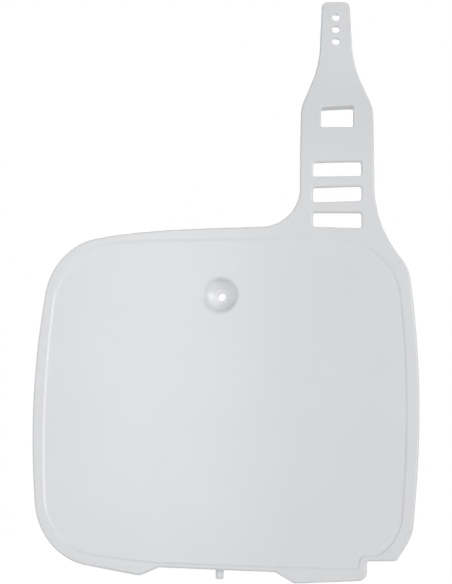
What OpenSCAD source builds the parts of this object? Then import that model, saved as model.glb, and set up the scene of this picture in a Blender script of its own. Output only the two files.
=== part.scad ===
// Racing number board for an off-road motorcycle, one moulding.
// X is to the right as seen from the front, the front faces -Y and +Z is up.
// The origin is the centre of the bolt hole, on the rear face of its boss.

/* [Board] */
// Width across the widest point of the board
board_w = 282; // [260:1:300]
// Height of the widest point below the bolt hole
waist_drop = 68; // [58:1:80]
// Radius of each bulging side
waist_r = 560; // [400:10:700]
// Lean of each side away from the widest point, in degrees
side_lean = 7; // [5:0.5:9]
// Radius of the board's bow, seen from above
bow_r = 800; // [600:20:1600]
// Thickness of the moulded wall
wall = 3; // [2.4:0.1:3.6]

/* [Top edge] */
// Height of the top left corner point above the bolt hole
top_rise = 46.6; // [40:0.5:52]
// Slope of the top edge up towards the strap, in degrees
top_slope = 1.4; // [0:0.1:2.5]
// Radius of the top left corner
top_corner_r = 54; // [40:1:60]

/* [Bottom edge] */
// Drop of the straight bottom edge below the bolt hole
bottom_drop = 192.2; // [180:0.5:205]
// Height of the bottom left corner point above the bottom edge
left_corner_lift = 2.9; // [1:0.1:8]
// Radius of the bottom left corner
left_corner_r = 60; // [45:1:64]
// Depth of the left lip below the bottom edge
left_lip_h = 6.1; // [4:0.1:9]
// Distance from the centre line to the left lip's end
left_lip_x = 53; // [45:1:60]
// Length of the left lip's slanted end
left_lip_run = 13.5; // [9:0.5:18]
// Depth of the right lip at its inner end
right_lip_h = 8; // [5:0.1:11]
// Distance from the centre line to the right lip's inner end
right_lip_x = 54.5; // [48:1:62]
// Length of the right lip's slanted end
right_lip_run = 13; // [9:0.5:18]
// Rise of the right lip towards its outer end
right_lip_rise = 3; // [0:0.5:5]
// Distance from the centre line to the right lip's outer end
notch_x = 103.6; // [98:0.5:108]
// Height of the notch beside the right lip above the bottom edge
notch_lift = 8.2; // [6:0.1:12]
// Radius of the bottom right corner
right_corner_r = 16; // [10:1:20]
// Radius of the lips' corners
lip_r = 6; // [3:0.5:8]
// Radius inside the notch
notch_r = 2; // [1:0.5:4]

/* [Right shoulder] */
// Drop of the shoulder's corner point below the top edge
shoulder_drop = 25.6; // [20:0.2:32]
// Radius of the shoulder
shoulder_r = 35; // [25:1:50]
// Radius where the shoulder runs into the strap
shoulder_root_r = 90; // [60:5:110]
// Height at which the shoulder meets the strap, above the top edge there
shoulder_root_lift = 0.7; // [0:0.1:3]

/* [Rounded edges] */
// Radius of the board's front edge
edge_r = 1.8; // [0.8:0.1:2.2]
// Radius of the front edge of the slots and the window
opening_edge_r = 1.8; // [0.8:0.1:2.2]

/* [Recessed panel] */
// Depth of the step down to the panel
step = 0.9; // [0.5:0.1:1.4]
// Width of the slope at the step
step_run = 1.8; // [1:0.1:2.4]
// Width of the border to the left of the panel
left_border = 9; // [6:0.1:12]
// Width of the border to the right of the panel
right_border = 7.7; // [6:0.1:12]
// Width of the border above the panel at its corners
top_border = 3.3; // [2.5:0.1:7]
// Width of the border below the panel
bottom_border = 2.5; // [2:0.1:5]
// Width of the border at the notch
notch_border = 2; // [1.5:0.1:4]
// Radius of the panel's top right corner
panel_top_right_r = 50; // [38:1:56]
// Radius of the panel's top left corner
panel_top_left_r = 56; // [38:1:60]
// Radius of the panel's bottom left corner
panel_left_r = 46; // [36:1:52]
// Radius of the panel's bottom right corner
panel_right_r = 26; // [18:1:32]
// How much larger the radius of the panel's sides is than the board's
panel_side_extra_r = 240; // [0:20:300]
// How much less the panel's sides lean than the board's, in degrees
panel_less_lean = 2; // [0:0.5:3]
// Rise of the panel's bottom edge towards its left corner
panel_left_rise = 6.5; // [3:0.5:9]
// Distance from the left lip's end to the bend in the panel's bottom edge
panel_bend_x = 11; // [6:0.5:16]
// Radius of that bend
panel_bend_r = 60; // [20:5:80]
// Distance from the notch to the end of the panel's bottom edge
panel_end_gap = 5.1; // [4:0.1:8]
// Slant of the panel's edge beside the notch
panel_end_slant = 1.8; // [0.5:0.1:3]
// Length of the panel's edge above the notch
panel_notch_run = 10.7; // [8:0.1:14]
// Rise of the panel's bottom right corner point
panel_right_rise = 12; // [9:0.5:16]

/* [Turned-back rim] */
// Depth of the rim behind the front of the board
rim_depth = 11; // [8:0.5:12]
// Thickness of the rim
rim_wall = 3; // [2.6:0.1:3.6]
// Height at which the rim starts to fade out beside the strap
rim_fade_from = 54; // [52:1:60]
// Height over which the rim fades out
rim_fade_h = 26; // [16:1:36]

/* [Bolt recess] */
// Diameter of the recess at its mouth
recess_d = 28; // [24:0.5:34]
// Depth of the recess from the board's front
recess_depth = 9; // [7:0.5:11]
// Diameter of the flat seat at the bottom of the recess
seat_d = 11; // [10:0.5:13]
// Radius of the recess's rounded mouth
mouth_r = 4; // [2:0.5:6]
// Diameter of the recess at the knee of its wall
knee_d = 21; // [18:0.5:24]
// Depth of that knee from the board's front
knee_depth = 6; // [4:0.5:7.5]
// Radius of the knee
knee_r = 12; // [6:1:20]
// Radius between the seat and the recess's side
seat_r = 1.5; // [0.5:0.1:2]
// Diameter of the bolt hole
bolt_d = 6; // [5:0.1:8]

/* [Strap] */
// Distance from the board's widest point to the strap's centre line
strap_inset = 57.2; // [50:0.1:64]
// Width of the strap's wide part
strap_w = 56; // [52:1:62]
// Width of the tail where it starts
tail_w = 26; // [22:0.2:30]
// Width of the tail at its tip
tip_w = 21.6; // [18:0.2:26]
// Height of the tip above the bolt hole
strap_rise = 234.5; // [230:0.5:260]
// Height at which the wide part ends
shoulder_z = 145.5; // [140:0.5:152]
// Height at which the tail starts
tail_z = 182.5; // [176:0.5:190]
// Radius of the tip's corners
tip_r = 5; // [3:0.5:8]
// Radius between the board's top edge and the strap
root_r = 25; // [18:1:30]
// Radius at the end of the wide part
strap_shoulder_r = 40; // [25:1:44]
// Radius where the tail starts
tail_root_r = 90; // [50:5:95]
// Height at which the strap starts to lean back
lean_from = 84; // [70:1:90]
// Lean of the strap at the window, in degrees
lean = 10; // [4:1:14]
// Radius of both bends in the strap
bend_r = 220; // [150:10:240]
// Height at which the strap bends back upright
upright_from = 152; // [150:1:158]

/* [Strap openings] */
// Width of the slots
slot_w = 36; // [30:0.5:40]
// Height of the slots
slot_h = 12; // [9:0.5:13]
// Height of the lowest slot's centre
slot_z = 55.5; // [54:0.5:58]
// Distance between the slots' centres
slot_pitch = 19.5; // [17:0.5:20]
// Number of slots
slots = 3; // [1:1:3]
// Width of the window that takes the tail
window_w = 24; // [22:0.5:30]
// Height of the window
window_h = 18; // [14:0.5:20]
// Height of the window's centre
window_z = 138.5; // [135:0.5:139]
// Width of the collar around the window
collar_w = 3; // [2:0.5:4]
// Depth of the window's wall, collar included
collar_depth = 6.5; // [4.5:0.5:8]
// Radius of the openings' corners
opening_r = 1.2; // [0.6:0.1:2]
// Diameter of the tail's holes
tail_hole_d = 5.6; // [4:0.1:7]
// Height of the lowest tail hole
tail_hole_z = 201.2; // [198:0.2:206]
// Distance between the tail's holes
tail_hole_pitch = 10; // [9:0.2:12.5]
// Number of tail holes
tail_holes = 3; // [1:1:3]

/* [Locating peg] */
// Diameter of the peg
peg_d = 5.6; // [4:0.1:7]
// Length of the peg below the bottom edge
peg_len = 7; // [4:0.5:12]
// Distance from the centre line to the peg
peg_x = 2.6; // [-6:0.1:6]
// Distance from the board's front to the peg's centre
peg_back = 7.6; // [6:0.1:8]
// Radius of the peg's rounded end
peg_end_r = 1.4; // [0.5:0.1:2]

/* [Hidden] */
white = "#e4e6e9";
half_w = board_w / 2;
strap_x = half_w - strap_inset;
front_y = -(recess_depth + wall);   // the board's front on the centre line
arc_sag = 0.06;                     // how far an outline's short lines may leave its true arcs
least_r = 0.3;                      // smallest radius that an inset corner keeps
speck = 0.01;                       // keeps the room at a straight corner from being divided by nothing
bow_sides = 1440;                   // sides that a full turn of the bow would have
recess_sides = 72;
hole_sides = 48;
margin = 10;                        // how far cutting and revolved bodies run past the board
low_z = -bottom_drop - right_lip_h - margin;
bow_angle = 2 * asin((half_w + 2 * margin) / bow_r);
lap = 0.6;                          // overlap between parts that are moulded together

// Outlines are lists of corners, each [x, z, radius], counter-clockwise from the front.

// x of the corner point where the two leaning sides would meet
function waist_x(half, r, lean) = half + r * (1 / cos(lean) - 1);
// x of a leaning side at height z
function side_x(half, r, lean, z) = waist_x(half, r, lean) - tan(lean) * abs(z + waist_drop);
function board_side_x(z) = side_x(half_w, waist_r, side_lean, z);

top_left_x = -board_side_x(top_rise);
root_x = strap_x - strap_w / 2;
root_z = top_rise + (root_x - top_left_x) * tan(top_slope);
shoulder_point_z = top_rise - shoulder_drop;
bottom_z = -bottom_drop;
notch_z = bottom_z + notch_lift;
left_corner_z = bottom_z + left_corner_lift;

board_corners = [
    [-board_side_x(left_corner_z), left_corner_z, left_corner_r],
    [-left_lip_x, bottom_z - left_lip_h, lip_r],
    [-left_lip_x + left_lip_run, bottom_z, lip_r],
    [right_lip_x - right_lip_run, bottom_z, lip_r],
    [right_lip_x, bottom_z - right_lip_h, lip_r],
    [notch_x, bottom_z - right_lip_h + right_lip_rise, lip_r],
    [notch_x, notch_z, notch_r],
    [board_side_x(notch_z), notch_z, right_corner_r],
    [waist_x(half_w, waist_r, side_lean), -waist_drop, waist_r],
    [board_side_x(shoulder_point_z), shoulder_point_z, shoulder_r],
    [strap_x + strap_w / 2, root_z + shoulder_root_lift, shoulder_root_r],
    [strap_x + strap_w / 2, shoulder_z, strap_shoulder_r],
    [strap_x + tail_w / 2, tail_z, tail_root_r],
    [strap_x + tip_w / 2, strap_rise, tip_r],
    [strap_x - tip_w / 2, strap_rise, tip_r],
    [strap_x - tail_w / 2, tail_z, tail_root_r],
    [root_x, shoulder_z, strap_shoulder_r],
    [root_x, root_z, root_r],
    [top_left_x, top_rise, top_corner_r],
    [-waist_x(half_w, waist_r, side_lean), -waist_drop, waist_r]
];

panel_left = half_w - left_border;
panel_right = half_w - right_border;
panel_side_r = waist_r + panel_side_extra_r;
panel_lean = side_lean - panel_less_lean;
panel_top = top_rise - top_border;
panel_low = bottom_z + bottom_border;
panel_notch_z = notch_z + notch_border;
panel_end_x = notch_x - panel_end_gap;
panel_left_z = panel_low + panel_left_rise;
panel_right_z = panel_notch_z + panel_right_rise;
function panel_side_x(half, z) = side_x(half, panel_side_r, panel_lean, z);
panel_corners = [
    [-panel_side_x(panel_left, panel_left_z), panel_left_z, panel_left_r],
    [-left_lip_x + panel_bend_x, panel_low, panel_bend_r],
    [panel_end_x, panel_low, notch_r],
    [panel_end_x + panel_end_slant, panel_notch_z, notch_r],
    [panel_end_x + panel_end_slant + panel_notch_run, panel_notch_z, notch_r],
    [panel_side_x(panel_right, panel_right_z), panel_right_z, panel_right_r],
    [waist_x(panel_right, panel_side_r, panel_lean), -waist_drop, panel_side_r],
    [panel_side_x(panel_right, panel_top), panel_top, panel_top_right_r],
    [-panel_side_x(panel_left, panel_top), panel_top, panel_top_left_r],
    [-waist_x(panel_left, panel_side_r, panel_lean), -waist_drop, panel_side_r]
];

function flat(v) = [v.x, v.y];
function unit(v) = v / norm(v);
function wrap(c, i) = c[(i + len(c)) % len(c)];
function cross2(a, b) = a.x * b.y - a.y * b.x;
// signed turn of the outline at corner i, positive where it is convex
function turn(c, i) =
    let (a = flat(c[i]) - flat(wrap(c, i - 1)), b = flat(wrap(c, i + 1)) - flat(c[i]))
    atan2(cross2(a, b), a * b);
function tangent(c, i) = c[i].z * tan(abs(turn(c, i)) / 2);
// share of a corner's radius that its two sides leave room for
function room(c, i) =
    let (p = (i + len(c) - 1) % len(c), n = (i + 1) % len(c))
    min(1, norm(flat(c[i]) - flat(c[p])) / (tangent(c, i) + tangent(c, p) + speck),
        norm(flat(c[n]) - flat(c[i])) / (tangent(c, i) + tangent(c, n) + speck));
function arc_steps(r, bend) = max(2, ceil(abs(bend) / (2 * acos(1 - arc_sag / max(r, least_r)))));
// the arc at corner i, moved inwards by w
function corner_arc(c, i, w = 0) =
    let (q = flat(c[i]), bend = turn(c, i), r = c[i].z * room(c, i), t = r * tan(abs(bend) / 2),
         back = unit(flat(wrap(c, i - 1)) - q), side = sign(bend),
         start = q + back * t, inward = side * [back.y, -back.x],
         centre = start + inward * r, n = arc_steps(c[i].z, bend), a0 = atan2(-inward.y, -inward.x),
         reach = max(least_r, r - side * w))
    [for (k = [0:n]) centre + reach * [cos(a0 + bend * k / n), sin(a0 + bend * k / n)]];
function rounded(c, w = 0) = [for (i = [0:len(c) - 1]) each corner_arc(c, i, w)];
function rect(w, h, r) = [[-w / 2, -h / 2, r], [w / 2, -h / 2, r], [w / 2, h / 2, r], [-w / 2, h / 2, r]];

// Side view of the front surface: how far it lies behind the board at height z
lean_rise = bend_r * sin(lean);
lean_back = bend_r * (1 - cos(lean));
upright_back = lean_back + (upright_from - lean_from - lean_rise) * tan(lean);
function set_back(z) =
    z < lean_from ? 0 :
    z < lean_from + lean_rise ? bend_r - sqrt(pow(bend_r, 2) - pow(z - lean_from, 2)) :
    z < upright_from ? lean_back + (z - lean_from - lean_rise) * tan(lean) :
    upright_back + bend_r * (cos(lean_at(z)) - cos(lean));
function lean_at(z) =
    z < lean_from ? 0 :
    z < lean_from + lean_rise ? asin((z - lean_from) / bend_r) :
    z < upright_from ? lean :
    asin(max(0, sin(lean) - (z - upright_from) / bend_r));
bend_steps = 6;
side_heights = [
    low_z,
    for (k = [0:bend_steps]) lean_from + bend_r * sin(lean * k / bend_steps),
    for (k = [0:bend_steps]) upright_from + bend_r * (sin(lean) - sin(lean * (1 - k / bend_steps))),
    strap_rise + margin
];
panel_heights = [low_z, panel_top + margin / 2];

// A wall between two depths behind the front surface, revolved about the axis of the bow
module bowed_wall(near, far, heights = side_heights) {
    front = [for (z = heights) [bow_r - set_back(z) - near, z]];
    rear = [for (k = [len(heights) - 1:-1:0]) [bow_r - set_back(heights[k]) - far, heights[k]]];
    revolved(concat(front, rear));
}
module revolved(profile)
    translate([0, front_y + bow_r, 0]) rotate([0, 0, -90 - bow_angle / 2])
        rotate_extrude(angle = bow_angle, $fn = bow_sides) polygon(profile);
// An outline drawn in X and Z, run through the whole depth of the board
module prism(points)
    translate([0, half_w, 0]) rotate([90, 0, 0]) linear_extrude(2 * half_w) polygon(points);
// A point of an outline at a depth behind the bowed front
function board_at(q, depth) =
    [q.x, front_y + bow_r - sqrt(pow(bow_r - set_back(q.y) - depth, 2) - pow(q.x, 2)), q.y];
// Rings of points joined in turn, either closed on themselves or capped at both ends
module joined(rings, capped) {
    n = len(rings[0]);
    m = len(rings);
    polyhedron(
        points = [for (ring = rings) each ring],
        faces = concat(
            [for (i = [0:m - (capped ? 2 : 1)], j = [0:n - 1])
                let (a = i * n + j, b = i * n + (j + 1) % n, next = (i + 1) % m * n)
                each [[a, b, next + (j + 1) % n], [a, next + (j + 1) % n, next + j]]],
            capped ? [[for (j = [n - 1:-1:0]) j], [for (j = [0:n - 1]) (m - 1) * n + j]] : []
        ));
}
// What is cut away to round a front edge: a band along an outline, each point [inset, depth]
edge_steps = 4;
function past(a, b) = a + (a - b) / 2;
function edge_band(r) =
    let (arc = [for (k = [0:edge_steps]) r * [1 - sin(90 * k / edge_steps), 1 - cos(90 * k / edge_steps)]])
    concat([past(arc[0], arc[1])], [for (k = [1:edge_steps - 1]) arc[k]],
        [past(arc[edge_steps], arc[edge_steps - 1]), [-r, -r]]);
function reversed(list) = [for (k = [len(list) - 1:-1:0]) list[k]];
module board_edge()
    joined([for (s = reversed(edge_band(edge_r))) [for (q = rounded(board_corners, s.x)) board_at(q, s.y)]],
        false);
module opening_edge(corners)
    joined([for (s = edge_band(opening_edge_r)) [for (q = rounded(corners, -s.x)) [q.x, s.y, q.y]]], false);
// Places its children on the strap's front, with their Y axis into the wall there
module on_strap(z) {
    swing = asin(strap_x / (bow_r - set_back(z)));
    depth = bow_r - sqrt(pow(bow_r - set_back(z), 2) - pow(strap_x, 2));
    translate([strap_x, front_y + depth, z]) rotate([0, 0, swing]) rotate([-lean_at(z), 0, 0])
        children();
}
module plug(points, near, far)
    translate([0, far, 0]) rotate([90, 0, 0]) linear_extrude(far - near) polygon(points);

// The space in front of the panel, with sides that slope down to it
slope_steps = 3;
slope = [for (k = [0:slope_steps]) let (u = k / slope_steps) [step_run * u, step * u * u * (3 - 2 * u)]];
flare = concat([past(slope[0], slope[1])], [for (k = [1:slope_steps - 1]) slope[k]],
    [past(slope[slope_steps], slope[slope_steps - 1])]);
module panel_space()
    intersection() {
        bowed_wall(-margin, step, panel_heights);
        joined(concat(
            [[for (q = rounded(panel_corners, flare[0].x)) [q.x, front_y - margin / 2, q.y]]],
            [for (s = flare) [for (q = rounded(panel_corners, s.x)) board_at(q, s.y)]],
            [[for (q = rounded(panel_corners, flare[slope_steps].x)) [q.x, margin, q.y]]]), true);
    }

module skin() {
    difference() {
        intersection() { bowed_wall(0, wall); prism(rounded(board_corners)); }
        panel_space();
    }
    intersection() {
        bowed_wall(step + lap, step + wall, panel_heights);
        prism(rounded(panel_corners));
    }
}

module rim()
    intersection() {
        revolved([
            [bow_r - wall + lap, low_z], [bow_r - wall + lap, rim_fade_from + rim_fade_h],
            [bow_r - rim_depth, rim_fade_from], [bow_r - rim_depth, low_z]
        ]);
        difference() {
            prism(rounded(board_corners));
            prism(rounded(board_corners, rim_wall));
        }
    }

// The recess's section as [radius, depth, corner radius]; its mouth starts a hair above the panel
mouth_lift = 0.15;
mouth_in = mouth_r / 3;
recess_section = [[recess_d, step - mouth_lift, 0], [recess_d / 2 - mouth_in, step - mouth_lift, mouth_r],
    [knee_d / 2, knee_depth, knee_r], [seat_d / 2, recess_depth, seat_r], [0, recess_depth, 0]];
module recess_space()
    on_front() rotate_extrude($fn = recess_sides)
        polygon(concat([[0, -margin], [recess_d, -margin], [recess_d, step - mouth_lift]],
            [for (i = [1:3]) each corner_arc(recess_section, i)], [[0, recess_depth]]));
module recess_cup()
    on_front() rotate_extrude($fn = recess_sides)
        polygon([[0, step + lap], [recess_d / 2 + wall, step + lap],
            [knee_d / 2 + wall, knee_depth + wall / 2],
            [seat_d / 2 + wall, recess_depth + wall], [0, recess_depth + wall]]);
// Places its children with their Z axis into the board on the bolt's axis
module on_front() translate([0, front_y, 0]) rotate([-90, 0, 0]) children();

slot_corners = rect(slot_w, slot_h, opening_r);
window_corners = rect(window_w, window_h, opening_r);
module collar()
    on_strap(window_z) plug(rounded(window_corners, -collar_w), wall / 2, collar_depth);

module opening(corners, depth) {
    plug(rounded(corners), -margin, depth + margin);
    opening_edge(corners);
}

module strap_openings() {
    for (k = [0:slots - 1]) on_strap(slot_z + k * slot_pitch) opening(slot_corners, wall);
    on_strap(window_z) opening(window_corners, collar_depth);
    for (k = [0:tail_holes - 1])
        on_strap(tail_hole_z + k * tail_hole_pitch)
            translate([0, -margin, 0]) rotate([-90, 0, 0])
                cylinder(d = tail_hole_d, h = 2 * margin + wall, $fn = hole_sides);
}

peg_end_steps = 6;
module peg()
    translate([peg_x, front_y + peg_back, bottom_z - peg_len]) rotate_extrude($fn = hole_sides)
        polygon(concat([[0, 0]],
            [for (k = [-peg_end_steps:0]) let (a = 90 * k / peg_end_steps)
                [peg_d / 2 - peg_end_r, peg_end_r] + peg_end_r * [cos(a), sin(a)]],
            [[peg_d / 2, peg_len + rim_wall / 2], [0, peg_len + rim_wall / 2]]));

module number_board() color(white) {
    difference() {
        union() { skin(); rim(); recess_cup(); collar(); }
        recess_space();
        strap_openings();
        on_front() cylinder(d = bolt_d, h = recess_depth + wall + margin, $fn = hole_sides);
        board_edge();
    }
    peg();
}

number_board();
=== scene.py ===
from math import acos, asin, atan2, ceil, cos, hypot, pi, radians, sin, sqrt, tan

import bmesh
import bpy
from mathutils import Matrix, Vector


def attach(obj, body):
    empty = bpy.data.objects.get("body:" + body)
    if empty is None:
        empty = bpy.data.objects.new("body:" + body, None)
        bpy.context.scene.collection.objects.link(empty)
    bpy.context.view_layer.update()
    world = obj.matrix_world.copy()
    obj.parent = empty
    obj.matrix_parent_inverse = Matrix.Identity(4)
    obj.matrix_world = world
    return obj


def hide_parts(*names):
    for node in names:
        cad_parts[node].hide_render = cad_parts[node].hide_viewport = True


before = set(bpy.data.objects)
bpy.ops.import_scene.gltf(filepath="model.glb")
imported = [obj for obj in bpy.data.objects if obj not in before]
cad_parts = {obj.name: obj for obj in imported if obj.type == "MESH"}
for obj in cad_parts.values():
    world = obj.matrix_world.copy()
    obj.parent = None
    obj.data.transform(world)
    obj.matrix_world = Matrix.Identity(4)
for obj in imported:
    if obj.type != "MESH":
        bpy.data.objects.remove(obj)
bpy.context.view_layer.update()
scene = bpy.context.scene
scene.view_settings.view_transform = "Standard"
mm = 0.001

# The board is drawn flat, in millimetres: x to the right, y the depth behind the front, z up.
# It is then bent to its bow and to the lean of its strap.
board = {
    "halfWidth": 141, "waistDrop": 68, "waistR": 560, "sideLean": 7,
    "rightHalf": 141.3, "rightWaistR": 700, "rightLean": 6,
    "bowR": 800, "wall": 3, "edgeR": 1.8, "rearEdgeR": 0.6, "backFilletR": 1.2,
    "topRise": 46.6, "topSlope": 1.4, "topCornerR": 47, "topLeftFall": 5.4,
    "crowns": [(-42, 3.1), (-77, 1.3)], "crownR": 300,
    "bottomDrop": 192.2, "bottomFall": 0.8, "leftCornerDrop": 187.4, "leftCornerR": 50,
    "leftLipDrop": 198.3, "leftLipX": 53, "leftLipRun": 13.5,
    "rightLipDrop": 200.2, "rightLipX": 54.5, "rightLipRun": 13, "rightLipRise": 3,
    "notchX": 103.6, "notchDrop": 184, "notchFall": 0.5, "lipR": 6, "notchR": 2,
    "rightBevelUp": 17, "rightBevelR": 30, "rightCornerX": 123.5, "rightCornerR": 2.5,
    "rightShoulderDrop": 25.6, "rightShoulderR": 35,
    "rimDepth": 11, "rimWall": 3, "rimDraft": 0.4, "rimFadeFrom": 54, "rimFadeRise": 26,
}
panel = {
    "step": 1.1, "stepRun": 1.8, "topWider": 1.2, "leftBorder": 9, "rightBorder": 7.7, "topBorder": 3.3,
    "bottomBorder": 2.1, "notchBorder": 2, "topRightR": 50, "topLeftR": 52,
    "bottomLeftR": 46, "bottomRightR": 34, "extraWaistR": 240, "lessLean": 2,
    "leftCornerLift": 6.5, "lipReach": 11, "lipR": 60, "steps": 10,
    "notchInset": 3.1, "notchSlant": 1.3, "notchReach": 7.4, "notchInnerR": 3, "rightCornerLift": 12,
}
strap = {
    "inset": 57.2, "width": 56, "tailWidth": 26, "tipWidth": 21.6, "rise": 234.5,
    "shoulderZ": 145.5, "tailZ": 182.5, "tipR": 5, "rootR": 28.5, "leftTrim": 1.5, "outerRootR": 90,
    "outerRootLift": 0.7, "shoulderR": 40, "tailR": 90,
    "leanFrom": 84, "lean": 10, "bendR": 220, "uprightFrom": 152,
    "slotWidth": 35, "slotHeight": 11, "slotZ": 55.8, "slotPitch": 19.5, "slotShift": 0.9,
    "windowWidth": 23.4, "windowHeight": 17.4, "windowZ": 138, "windowShift": 0.7,
    "cornerR": 1.6, "mouthR": 1.8,
    # how far each slot's bottom and top rise to the right, from the lowest slot up, and then the window's
    "slotTilts": [(-0.6, 0.1), (1.5, 1.4), (0.8, 1.0)], "windowTilt": (0, 1.4),
    "collarWidth": 3, "collarDepth": 6.5,
    "holeD": 5.6, "holeZ": 201.2, "holePitch": 10, "holes": 3, "holeMouthR": 0.7, "holeSides": 48,
}
recess = {
    "mouthD": 28, "depth": 9, "seatD": 11, "mouthR": 4, "kneeD": 21, "kneeDepth": 6, "kneeR": 12,
    "seatR": 1.5, "boltD": 6, "holeEdgeR": 0.3, "bossEdgeR": 1.2, "bossEase": 0.6, "margin": 2, "sides": 144,
}
peg = {"d": 5.6, "length": 7, "x": 2.6, "back": 7.6, "endR": 1.4, "rootR": 0.8, "rootLift": 0.05, "sides": 40}
mesh = {"sag": 0.02, "across": 4.0, "up": 3.0, "backBlend": 16, "slack": 0.01, "merge": 0.01, "near": 1e-4}

strapX = board["halfWidth"] - strap["inset"]
frontY = -(recess["depth"] + board["wall"])


def cornerPoint(half, r, lean):
    return half + r * (1 / cos(radians(lean)) - 1)


def sideX(half, r, lean, z):
    return cornerPoint(half, r, lean) - tan(radians(lean)) * abs(z + board["waistDrop"])


def cornerTurn(corners, i):
    before, here, after = (Vector(corners[k % len(corners)][:2]) for k in (i - 1, i, i + 1))
    a, b = here - before, after - here
    return atan2(a.x * b.y - a.y * b.x, a.dot(b))


def tangentLength(corners, i):
    return corners[i % len(corners)][2] * tan(abs(cornerTurn(corners, i)) / 2)


def cornerRoom(corners, i):
    # share of a corner's radius that its two sides leave room for
    own, here = tangentLength(corners, i), Vector(corners[i][:2])
    shares = [(Vector(corners[k % len(corners)][:2]) - here).length / (own + tangentLength(corners, k) + 0.01)
              for k in (i - 1, i + 1)]
    return min(1, *shares)


def roundedPath(corners, closed=True):
    # corners are (x, z, radius), material on the left; gives each point with its outward normal
    found = []
    count = len(corners)
    for i, (x, z, r) in enumerate(corners):
        here = Vector((x, z))
        before, after = Vector(corners[i - 1][:2]), Vector(corners[(i + 1) % count][:2])
        if not closed and i in (0, count - 1):
            along = (after - here if i == 0 else here - before).normalized()
            found.append((here, Vector((along.y, -along.x))))
            continue
        a, b = (here - before).normalized(), (after - here).normalized()
        bend = atan2(a.x * b.y - a.y * b.x, a.dot(b))
        if abs(bend) < 1e-5:
            continue
        side = 1 if bend > 0 else -1
        r *= cornerRoom(corners, i)
        start = here - a * r * tan(abs(bend) / 2)
        centre = start + side * r * Vector((-a.y, a.x))
        steps = max(3, ceil(abs(bend) / (2 * acos(1 - mesh["sag"] / max(r, 0.5)))))
        for k in range(steps + 1):
            turned = bend * k / steps
            normal = Vector((a.y * cos(turned) + a.x * sin(turned), -a.x * cos(turned) + a.y * sin(turned)))
            found.append((centre + side * r * normal, normal))
    return found


def boardOutline():
    b, s = board, strap
    leftSide = b["halfWidth"], b["waistR"], b["sideLean"]
    rightSide = b["rightHalf"], b["rightWaistR"], b["rightLean"]
    left, right = strapX - s["width"] / 2 + s["leftTrim"], strapX + s["width"] / 2
    topLeftX = -sideX(*leftSide, b["topRise"])
    rootZ = b["topRise"] + (left - topLeftX) * tan(radians(b["topSlope"]))
    shoulderZ = b["topRise"] - b["rightShoulderDrop"]
    bevelZ = -b["notchDrop"] + b["rightBevelUp"]
    return roundedPath([
        (-sideX(*leftSide, -b["leftCornerDrop"]), -b["leftCornerDrop"], b["leftCornerR"]),
        (-b["leftLipX"], -b["leftLipDrop"], b["lipR"]),
        (-b["leftLipX"] + b["leftLipRun"], -b["bottomDrop"], b["lipR"]),
        (b["rightLipX"] - b["rightLipRun"], -b["bottomDrop"] - b["bottomFall"], b["lipR"]),
        (b["rightLipX"], -b["rightLipDrop"], b["lipR"]),
        (b["notchX"], -b["rightLipDrop"] + b["rightLipRise"], b["lipR"]),
        (b["notchX"], -b["notchDrop"] - b["notchFall"], b["notchR"]),
        (b["rightCornerX"], -b["notchDrop"], b["rightCornerR"]),
        (sideX(*rightSide, bevelZ), bevelZ, b["rightBevelR"]),
        (cornerPoint(*rightSide), -b["waistDrop"], b["rightWaistR"]),
        (sideX(*rightSide, shoulderZ), shoulderZ, b["rightShoulderR"]),
        (right, rootZ + s["outerRootLift"], s["outerRootR"]),
        (right, s["shoulderZ"], s["shoulderR"]),
        (strapX + s["tailWidth"] / 2, s["tailZ"], s["tailR"]),
        (strapX + s["tipWidth"] / 2, s["rise"], s["tipR"]),
        (strapX - s["tipWidth"] / 2, s["rise"], s["tipR"]),
        (strapX - s["tailWidth"] / 2, s["tailZ"], s["tailR"]),
        (left, s["shoulderZ"], s["shoulderR"]),
        (left, rootZ, s["rootR"]),
        *[(x, b["topRise"] + lift, b["crownR"]) for x, lift in b["crowns"]],
        (topLeftX, b["topRise"] - b["topLeftFall"], b["topCornerR"]),
        (-cornerPoint(*leftSide), -b["waistDrop"], b["waistR"]),
    ])


def panelOutline():
    b, p = board, panel
    left, right = b["halfWidth"] - p["leftBorder"], b["halfWidth"] - p["rightBorder"]
    r, lean = b["waistR"] + p["extraWaistR"], b["sideLean"] - p["lessLean"]
    top, low = b["topRise"] - p["topBorder"], -b["bottomDrop"] + p["bottomBorder"]
    notchZ = -b["notchDrop"] + p["notchBorder"]
    notchX = b["notchX"] - p["notchBorder"]
    leftLow, rightLow = low + p["leftCornerLift"], notchZ + p["rightCornerLift"]
    return roundedPath([
        (-sideX(left, r, lean, leftLow), leftLow, p["bottomLeftR"]),
        (-b["leftLipX"] + p["lipReach"], low, p["lipR"]),
        (notchX - p["notchInset"], low - b["bottomFall"], b["notchR"]),
        (notchX - p["notchSlant"], notchZ, p["notchInnerR"]),
        (b["notchX"] + p["notchReach"], notchZ, b["notchR"]),
        (sideX(right, r, lean, rightLow), rightLow, p["bottomRightR"]),
        (cornerPoint(right, r, lean), -b["waistDrop"], r),
        (sideX(right, r, lean, top), top, p["topRightR"]),
        (-sideX(left, r, lean, top), top, p["topLeftR"]),
        (-cornerPoint(left, r, lean), -b["waistDrop"], r),
    ])


def openingOutline(x, z, width, height, tilt):
    w, h, r = width / 2, height / 2, strap["cornerR"]
    low, high = tilt[0] / 2, tilt[1] / 2
    around = roundedPath([(-w, -h - low, r), (w, -h + low, r), (w, h + high, r), (-w, h - high, r)])
    return [(point + Vector((strapX + x, z)), -normal) for point, normal in around]


def circleOutline(x, z, r, sides, inwards):
    spokes = [Vector((cos(2 * pi * k / sides), sin(2 * pi * k / sides))) for k in range(sides)]
    return [(Vector((x, z)) + spoke * r, -spoke if inwards else spoke) for spoke in spokes]


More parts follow.
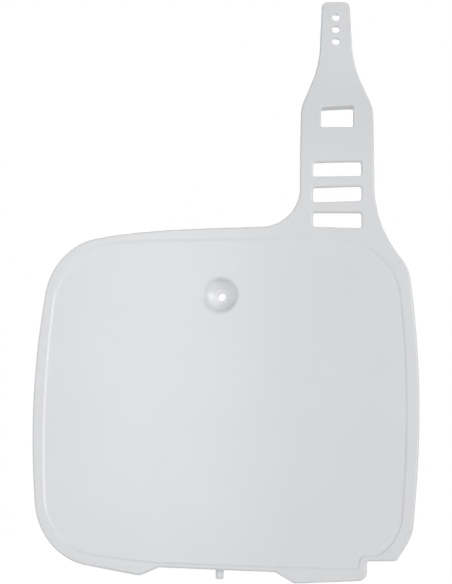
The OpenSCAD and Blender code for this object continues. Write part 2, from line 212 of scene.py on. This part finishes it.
def setBack(z):
    s = strap
    lean, rise = radians(s["lean"]), s["bendR"] * sin(radians(s["lean"]))
    if z <= s["leanFrom"]:
        return 0, 0
    if z <= s["leanFrom"] + rise:
        angle = asin((z - s["leanFrom"]) / s["bendR"])
        return s["bendR"] * (1 - cos(angle)), tan(angle)
    back = s["bendR"] * (1 - cos(lean)) + (min(z, s["uprightFrom"]) - s["leanFrom"] - rise) * tan(lean)
    if z <= s["uprightFrom"]:
        return back, tan(lean)
    angle = asin(max(0, sin(lean) - (z - s["uprightFrom"]) / s["bendR"]))
    return back + s["bendR"] * (cos(angle) - cos(lean)), tan(angle)


def backDepth(z):
    # the board's back lies one step deeper than the strap's; gives the extra depth and its slope
    t = (board["rimFadeFrom"] + mesh["backBlend"] - z) / mesh["backBlend"]
    t = min(1, max(0, t))
    return panel["step"] * t * t * (3 - 2 * t), -panel["step"] * 6 * t * (1 - t) / mesh["backBlend"]


def rimShare(z):
    return min(1, max(0, (board["rimFadeFrom"] + board["rimFadeRise"] - z) / board["rimFadeRise"]))


class Moulding:
    # a bmesh drawn flat, where each vertex remembers its normal and how far it follows the back
    def __init__(self):
        self.bm = bmesh.new()
        self.normal = self.bm.verts.layers.float_vector.new("flatNormal")
        self.back = self.bm.verts.layers.float.new("back")

    def mark(self, vert, spot, normal, back):
        vert.co = spot
        vert[self.normal] = normal
        vert[self.back] = back

    def sweep(self, outline, section, place):
        # lays the section round the outline, ring by ring, and gives its first and last ring's edges
        ring, first = None, None
        for step in section:
            spots = [place(point, normal, step) for point, normal in outline]
            if ring is None:
                ring = [self.bm.verts.new() for spot in spots]
                edges = [self.bm.edges.new((ring[i - 1], ring[i])) for i in range(len(ring))]
                first = edges
            else:
                made = bmesh.ops.extrude_edge_only(self.bm, edges=edges)["geom"]
                fresh = {v for v in made if isinstance(v, bmesh.types.BMVert)}
                ring = [next(e.other_vert(v) for e in v.link_edges if e.other_vert(v) in fresh) for v in ring]
                edges = [self.bm.edges.get((ring[i - 1], ring[i])) for i in range(len(ring))]
            for vert, spot in zip(ring, spots):
                self.mark(vert, *spot)
        return first, edges

    def fill(self, *loops):
        edges = [edge for loop in loops for edge in loop]
        bmesh.ops.triangle_fill(self.bm, use_beauty=True, use_dissolve=False, edges=edges)


def stepIn(point, normal, step):
    # the panel's step, which is gentler along the top
    (offset, depth), (out, deep), back = step
    wide = 1 + panel["topWider"] * max(0, normal.y) ** 2
    spot = point - normal * offset * wide
    return Vector((spot.x, depth, spot.y)), Vector((normal.x * out / wide, deep, normal.y * out / wide)), back


def squareIn(point, normal, step):
    # the same, but square to the strap's own front
    (offset, depth), (out, deep), back = step
    spot = point - normal * offset
    slope = setBack(spot.y)[1]
    lean, swing = atan2(slope, 1), asin(spot.x / board["bowR"])
    return (Vector((spot.x - depth * sin(swing) * cos(lean), depth / cos(lean), spot.y - depth * sin(lean))),
            Vector((normal.x * out, deep, normal.y * out)), back)


def rimIn(point, normal, step):
    # the turned-back rim: its depth fades out beside the strap
    (offset, depth), (out, deep), back = step
    share = rimShare(point.y)
    thin = depth if depth <= board["edgeR"] + mesh["slack"] else board["wall"]
    if offset < board["rimWall"] / 2 and depth > board["edgeR"] + mesh["slack"]:
        thin = depth - (board["rimDepth"] - board["wall"])
    turned = out if offset < board["rimWall"] / 2 else out * share
    spot = point - normal * offset
    return (Vector((spot.x, thin + (depth - thin) * share, spot.y)),
            Vector((normal.x * turned, deep, normal.y * turned)), back)


def edgeSection():
    b = board
    far = b["rimWall"] + b["rimDraft"]
    corners = [(b["edgeR"], 0, 0), (0, 0, b["edgeR"]), (0, b["rimDepth"], b["rearEdgeR"]),
               (b["rimWall"], b["rimDepth"], b["rearEdgeR"]), (far, b["wall"], b["backFilletR"]),
               (far + b["backFilletR"], b["wall"], 0)]
    steps = []
    for spot, normal in roundedPath(corners, closed=False):
        isBack = spot.x >= far - 0.05 and spot.y < b["wall"] + b["backFilletR"]
        steps.append((tuple(spot), (normal.x, -normal.y), 1 if isBack else 0))
    return steps


def openingSection(mouthR, depth, collarWidth):
    b = board
    corners = [(mouthR, 0, 0), (0, 0, mouthR), (0, depth, b["rearEdgeR"])]
    if collarWidth:
        corners += [(collarWidth, depth, b["rearEdgeR"]), (collarWidth, b["wall"], b["backFilletR"]),
                    (collarWidth + b["backFilletR"], b["wall"], 0)]
    else:
        corners += [(b["rearEdgeR"], depth, 0)]
    return [(tuple(spot), (normal.x, -normal.y), 1 if spot.y > b["wall"] * 0.7 else 0)
            for spot, normal in roundedPath(corners, closed=False)]


def stepSection():
    steps = []
    for k in range(panel["steps"] + 1):
        u = k / panel["steps"]
        depth = panel["step"] * u * u * (3 - 2 * u)
        slope = panel["step"] * 6 * u * (1 - u) / panel["stepRun"]
        length = hypot(1, slope)
        steps.append(((panel["stepRun"] * u, depth), (-slope / length, -1 / length), 0))
    return steps


def recessSection():
    # from the panel down to the seat, through the bolt hole and round the boss to the back
    r, b, p = recess, board, panel
    deep = r["depth"] + b["wall"]
    backZ = p["step"] + b["wall"]
    bossR, kneeR = r["seatD"] / 2 + b["wall"], r["kneeD"] / 2 + b["wall"]
    kneeZ = r["kneeDepth"] + b["wall"] / 2
    mouthEdge = r["mouthD"] / 2 - r["mouthR"] / 3
    slope = (r["mouthD"] / 2 + b["wall"] - kneeR) / (kneeZ - p["step"] - r["bossEase"])
    backR = kneeR + slope * (kneeZ - backZ)
    corners = [(r["mouthD"] / 2 + r["margin"], p["step"], 0), (mouthEdge, p["step"], r["mouthR"]),
               (r["kneeD"] / 2, r["kneeDepth"], r["kneeR"]), (r["seatD"] / 2, r["depth"], r["seatR"]),
               (r["boltD"] / 2, r["depth"], r["holeEdgeR"]), (r["boltD"] / 2, deep, r["holeEdgeR"]),
               (bossR, deep, r["bossEdgeR"]), (kneeR, kneeZ, r["kneeR"] / 4),
               (backR, backZ, b["backFilletR"]), (backR + 2 * b["backFilletR"], backZ, 0)]
    steps = []
    for spot, normal in roundedPath(corners, closed=False):
        steps.append((tuple(spot), (normal.x, -normal.y), 0))
    return steps


def roundIn(point, normal, step):
    # a turned section: its offset is the radius about the bolt's axis
    (radius, depth), (out, deep), back = step
    spot = normal * radius
    return Vector((spot.x, depth, spot.y)), Vector((-normal.x * out, deep, -normal.y * out)), back


def bend(moulding):
    bm = moulding.bm
    for vert in bm.verts:
        x, depth, z = vert.co
        normal, back = vert[moulding.normal].normalized(), vert[moulding.back]
        extra, extraSlope = backDepth(z)
        leanBack, leanSlope = setBack(z)
        rho = board["bowR"] - leanBack - depth - back * extra
        reach = sqrt(rho * rho - x * x)
        vert.co = Vector((x, frontY + board["bowR"] - reach, z)) * mm
        vert[moulding.normal] = Vector((
            normal.x - normal.y * x / rho, normal.y * reach / rho,
            normal.z - normal.y * (leanSlope + back * extraSlope))).normalized()


def cutAcross(bm):
    # cuts the flat sheet into narrow strips, so that it bends smoothly
    across, up = mesh["across"], mesh["up"]
    count = int(board["halfWidth"] / across)
    for k in range(-count, count + 1):
        bmesh.ops.bisect_plane(bm, geom=bm.verts[:] + bm.edges[:] + bm.faces[:], dist=mesh["near"],
                               plane_co=(k * across, 0, 0), plane_no=(1, 0, 0))
    z = board["topRise"]
    while z < strap["rise"]:
        high = [f for f in bm.faces if max(v.co.z for v in f.verts) > z > min(v.co.z for v in f.verts)]
        near = {e for f in high for e in f.edges} | {v for f in high for v in f.verts}
        bmesh.ops.bisect_plane(bm, geom=high + list(near), dist=mesh["near"],
                               plane_co=(0, 0, z), plane_no=(0, 0, 1))
        z += up


def addPeg(bm):
    r, foot = peg["d"] / 2, -board["bottomDrop"]
    low, top = foot - peg["length"], foot + board["rimWall"] / 2
    section = roundedPath([(0, low, 0), (r, low, peg["endR"]), (r, foot, peg["rootR"]),
                           (r + peg["rootR"], foot + peg["rootLift"], 0), (r + peg["rootR"], top, 0),
                           (0, top, 0)], closed=False)
    centre = Vector((peg["x"], frontY + peg["back"], 0))
    verts = [bm.verts.new((centre + Vector((spot.x, 0, spot.y))) * mm) for spot, normal in section]
    edges = [bm.edges.new(pair) for pair in zip(verts, verts[1:])]
    known = set(bm.verts) - set(verts)
    bmesh.ops.spin(bm, geom=verts + edges, cent=centre * mm, axis=(0, 0, 1), dvec=(0, 0, 0),
                   angle=2 * pi, steps=peg["sides"], use_merge=True, use_duplicate=False)
    bmesh.ops.remove_doubles(bm, verts=[v for v in bm.verts if v not in known], dist=1e-6)


def makeBoard():
    m = Moulding()
    s, b = strap, board
    outerFront, outerBack = m.sweep(boardOutline(), edgeSection(), rimIn)
    stepTop, stepFoot = m.sweep(panelOutline(), stepSection(), stepIn)
    mouth, bossFoot = m.sweep(circleOutline(0, 0, 1, recess["sides"], False), recessSection(), roundIn)
    fronts, backs = [], []
    for k, tilt in enumerate(s["slotTilts"]):
        z = s["slotZ"] + k * s["slotPitch"]
        outline = openingOutline(s["slotShift"], z, s["slotWidth"], s["slotHeight"], tilt)
        front, back = m.sweep(outline, openingSection(s["mouthR"], b["wall"], 0), squareIn)
        fronts.append(front)
        backs.append(back)
    window = openingOutline(s["windowShift"], s["windowZ"], s["windowWidth"], s["windowHeight"],
                            s["windowTilt"])
    front, back = m.sweep(window, openingSection(s["mouthR"], s["collarDepth"], s["collarWidth"]), squareIn)
    fronts.append(front)
    backs.append(back)
    for k in range(s["holes"]):
        outline = circleOutline(strapX, s["holeZ"] + k * s["holePitch"], s["holeD"] / 2, s["holeSides"], True)
        front, back = m.sweep(outline, openingSection(s["holeMouthR"], b["wall"], 0), squareIn)
        fronts.append(front)
        backs.append(back)
    m.fill(outerFront, stepTop, *fronts)
    m.fill(stepFoot, mouth)
    m.fill(outerBack, bossFoot, *backs)
    cutAcross(m.bm)
    bmesh.ops.remove_doubles(m.bm, verts=m.bm.verts[:], dist=mesh["merge"])
    bend(m)
    addPeg(m.bm)
    bmesh.ops.recalc_face_normals(m.bm, faces=m.bm.faces[:])
    m.bm.normal_update()
    normals = [v[m.normal].copy() if v[m.normal].length > 0.5 else v.normal.copy() for v in m.bm.verts]
    data = bpy.data.meshes.new("numberBoard")
    m.bm.to_mesh(data)
    m.bm.free()
    data.shade_smooth()
    data.normals_split_custom_set_from_vertices(normals)
    made = bpy.data.objects.new("numberBoard", data)
    scene.collection.objects.link(made)
    return made


def linear(hexColour):
    # an sRGB hex value as the linear colour that the shaders take
    parts = [int(hexColour[i:i + 2], 16) / 255 for i in (1, 3, 5)]
    return [c / 12.92 if c <= 0.04045 else ((c + 0.055) / 1.055) ** 2.4 for c in parts] + [1]


def addNode(tree, kind, links=None, **settings):
    node = tree.nodes.new(kind)
    for name, value in settings.items():
        if hasattr(node, name):
            setattr(node, name, value)
        else:
            node.inputs[name.replace("_", " ")].default_value = value
    for socket, source in (links or {}).items():
        tree.links.new(source, node.inputs[socket])
    return node


def emptyMaterial(name):
    material = bpy.data.materials.new(name)
    material.use_nodes = True
    material.node_tree.nodes.clear()
    return material, material.node_tree


# White polypropylene, injection moulded, with a soft gloss and a fine grain
plastic = {
    "colour": "#e9eaec", "cloud": "#e5e6e9", "cloudMm": 60, "roughLow": 0.26, "roughHigh": 0.34,
    "roughMm": 9, "grainMm": 0.55, "grainHeight": 0.003, "waveMm": 14, "waveHeight": 0.01, "ior": 1.49,
}


def mouldedPolypropylene():
    material, tree = emptyMaterial("mouldedPolypropylene")
    at = addNode(tree, "ShaderNodeTexCoord").outputs["Object"]
    cloud = addNode(tree, "ShaderNodeTexNoise", {"Vector": at}, Scale=1 / (plastic["cloudMm"] * mm),
                    Detail=2.0)
    colour = addNode(tree, "ShaderNodeMix", {"Factor": cloud.outputs["Fac"]}, data_type="RGBA")
    colour.inputs[6].default_value = linear(plastic["colour"])
    colour.inputs[7].default_value = linear(plastic["cloud"])
    patch = addNode(tree, "ShaderNodeTexNoise", {"Vector": at}, Scale=1 / (plastic["roughMm"] * mm),
                    Detail=3.0)
    rough = addNode(tree, "ShaderNodeMapRange", {"Value": patch.outputs["Fac"]})
    rough.inputs["To Min"].default_value = plastic["roughLow"]
    rough.inputs["To Max"].default_value = plastic["roughHigh"]
    wave = addNode(tree, "ShaderNodeTexNoise", {"Vector": at}, Scale=1 / (plastic["waveMm"] * mm), Detail=1.0)
    waveBump = addNode(tree, "ShaderNodeBump", {"Height": wave.outputs["Fac"]}, Strength=1.0,
                       Distance=plastic["waveHeight"] * mm)
    grain = addNode(tree, "ShaderNodeTexNoise", {"Vector": at}, Scale=1 / (plastic["grainMm"] * mm),
                    Detail=2.0)
    grainBump = addNode(tree, "ShaderNodeBump", {
        "Height": grain.outputs["Fac"], "Normal": waveBump.outputs["Normal"]},
        Strength=1.0, Distance=plastic["grainHeight"] * mm)
    shader = addNode(tree, "ShaderNodeBsdfPrincipled", {
        "Base Color": colour.outputs[2], "Roughness": rough.outputs["Result"],
        "Normal": grainBump.outputs["Normal"]},
        IOR=plastic["ior"])
    addNode(tree, "ShaderNodeOutputMaterial", {"Surface": shader.outputs["BSDF"]})
    return material


studio = {
    "azimuth": 8.37, "elevation": -11.37, "roll": 1.09, "distance": 705, "lens": 60, "sensor": 36,
    "targetX": 4.47, "targetY": -12, "targetZ": 1.79,
    "floorZ": -330, "floorSize": 6, "floorColour": "#e6e6e6",
    "floorWhite": 0.92, "floorLight": 1.075, "ambient": 0.15,
}
# each lamp: where it stands (azimuth and elevation in degrees, mm from the board), its size and its power
lamps = {
    "front": {"azimuth": -14, "elevation": 6, "away": 1100, "width": 500, "height": 800, "power": 2.1},
    "frontNear": {"azimuth": -27, "elevation": 2, "away": 600, "width": 300, "height": 500, "power": 0.4},
    "leftFill": {"azimuth": -42, "elevation": 4, "away": 1200, "width": 600, "height": 900, "power": 2.15},
    "rightBox": {"azimuth": 58, "elevation": 5, "away": 3000, "width": 1000, "height": 2200, "power": 50.5},
    "behind": {"azimuth": 180, "elevation": 35, "away": 1500, "width": 1500, "height": 800, "power": 12},
}


def seenFrom(azimuth, elevation):
    a, e = radians(azimuth), radians(elevation)
    return Vector((sin(a) * cos(e), -cos(a) * cos(e), sin(e)))


def makeCamera():
    s = studio
    back = seenFrom(s["azimuth"], s["elevation"])
    right = Vector((cos(radians(s["azimuth"])), sin(radians(s["azimuth"])), 0))
    up = back.cross(right)
    roll = radians(s["roll"])
    right, up = right * cos(roll) + up * sin(roll), up * cos(roll) - right * sin(roll)
    spot = (Vector((s["targetX"], s["targetY"], s["targetZ"])) + back * s["distance"]) * mm
    data = bpy.data.cameras.new("camera")
    data.lens, data.sensor_width, data.sensor_fit = s["lens"], s["sensor"], "AUTO"
    data.clip_start, data.clip_end = 0.01, 50
    camera = bpy.data.objects.new("camera", data)
    turned = Matrix((right, up, back)).transposed().to_4x4()
    camera.matrix_world = Matrix.Translation(spot) @ turned
    scene.collection.objects.link(camera)
    scene.camera = camera


def makeLamps():
    for name, lamp in lamps.items():
        data = bpy.data.lights.new(name, "AREA")
        data.shape, data.size, data.size_y = "RECTANGLE", lamp["width"] * mm, lamp["height"] * mm
        data.energy = lamp["power"]
        made = bpy.data.objects.new(name, data)
        away = seenFrom(lamp["azimuth"], lamp["elevation"])
        made.location = away * lamp["away"] * mm
        made.rotation_mode = "QUATERNION"
        made.rotation_quaternion = away.to_track_quat("Z", "Y")
        scene.collection.objects.link(made)


def seenRays(tree):
    # 1 for what the camera sees directly, in gloss or through something clear
    path = addNode(tree, "ShaderNodeLightPath").outputs
    first = addNode(tree, "ShaderNodeMath", operation="MAXIMUM")
    tree.links.new(path["Is Camera Ray"], first.inputs[0])
    tree.links.new(path["Is Glossy Ray"], first.inputs[1])
    both = addNode(tree, "ShaderNodeMath", operation="MAXIMUM")
    tree.links.new(first.outputs[0], both.inputs[0])
    tree.links.new(path["Is Transmission Ray"], both.inputs[1])
    return both.outputs[0]


def makeWorld():
    world = bpy.data.worlds.new("studio")
    world.use_nodes = True
    tree = world.node_tree
    tree.nodes.clear()
    strength = addNode(tree, "ShaderNodeMapRange", {"Value": seenRays(tree)})
    strength.inputs["To Min"].default_value = studio["ambient"]
    strength.inputs["To Max"].default_value = 1
    light = addNode(tree, "ShaderNodeBackground", {"Strength": strength.outputs["Result"]})
    light.inputs["Color"].default_value = (1, 1, 1, 1)
    addNode(tree, "ShaderNodeOutputWorld", {"Surface": light.outputs[0]})
    scene.world = world


def makeFloor():
    bm = bmesh.new()
    bmesh.ops.create_grid(bm, x_segments=1, y_segments=1, size=studio["floorSize"])
    bmesh.ops.translate(bm, verts=bm.verts, vec=(0, 0, studio["floorZ"] * mm))
    data = bpy.data.meshes.new("floor")
    bm.to_mesh(data)
    bm.free()
    floor = bpy.data.objects.new("floor", data)
    scene.collection.objects.link(floor)
    material, tree = emptyMaterial("paleFloor")
    matt = addNode(tree, "ShaderNodeBsdfDiffuse")
    matt.inputs["Color"].default_value = linear(studio["floorColour"])
    white = addNode(tree, "ShaderNodeEmission", Strength=studio["floorLight"])
    share = addNode(tree, "ShaderNodeMath", {0: seenRays(tree)}, operation="MULTIPLY")
    share.inputs[1].default_value = studio["floorWhite"]
    mixed = addNode(tree, "ShaderNodeMixShader", {
        0: share.outputs[0], 1: matt.outputs[0], 2: white.outputs[0]})
    addNode(tree, "ShaderNodeOutputMaterial", {"Surface": mixed.outputs[0]})
    data.materials.append(material)


makeCamera()
makeLamps()
makeWorld()
makeFloor()
print("studio: camera, lamps, world and floor")

numberBoard = makeBoard()
numberBoard.data.materials.append(mouldedPolypropylene())
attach(numberBoard, "root")
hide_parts("number_board")
print("number board:", len(numberBoard.data.vertices), "points", len(numberBoard.data.polygons), "faces")
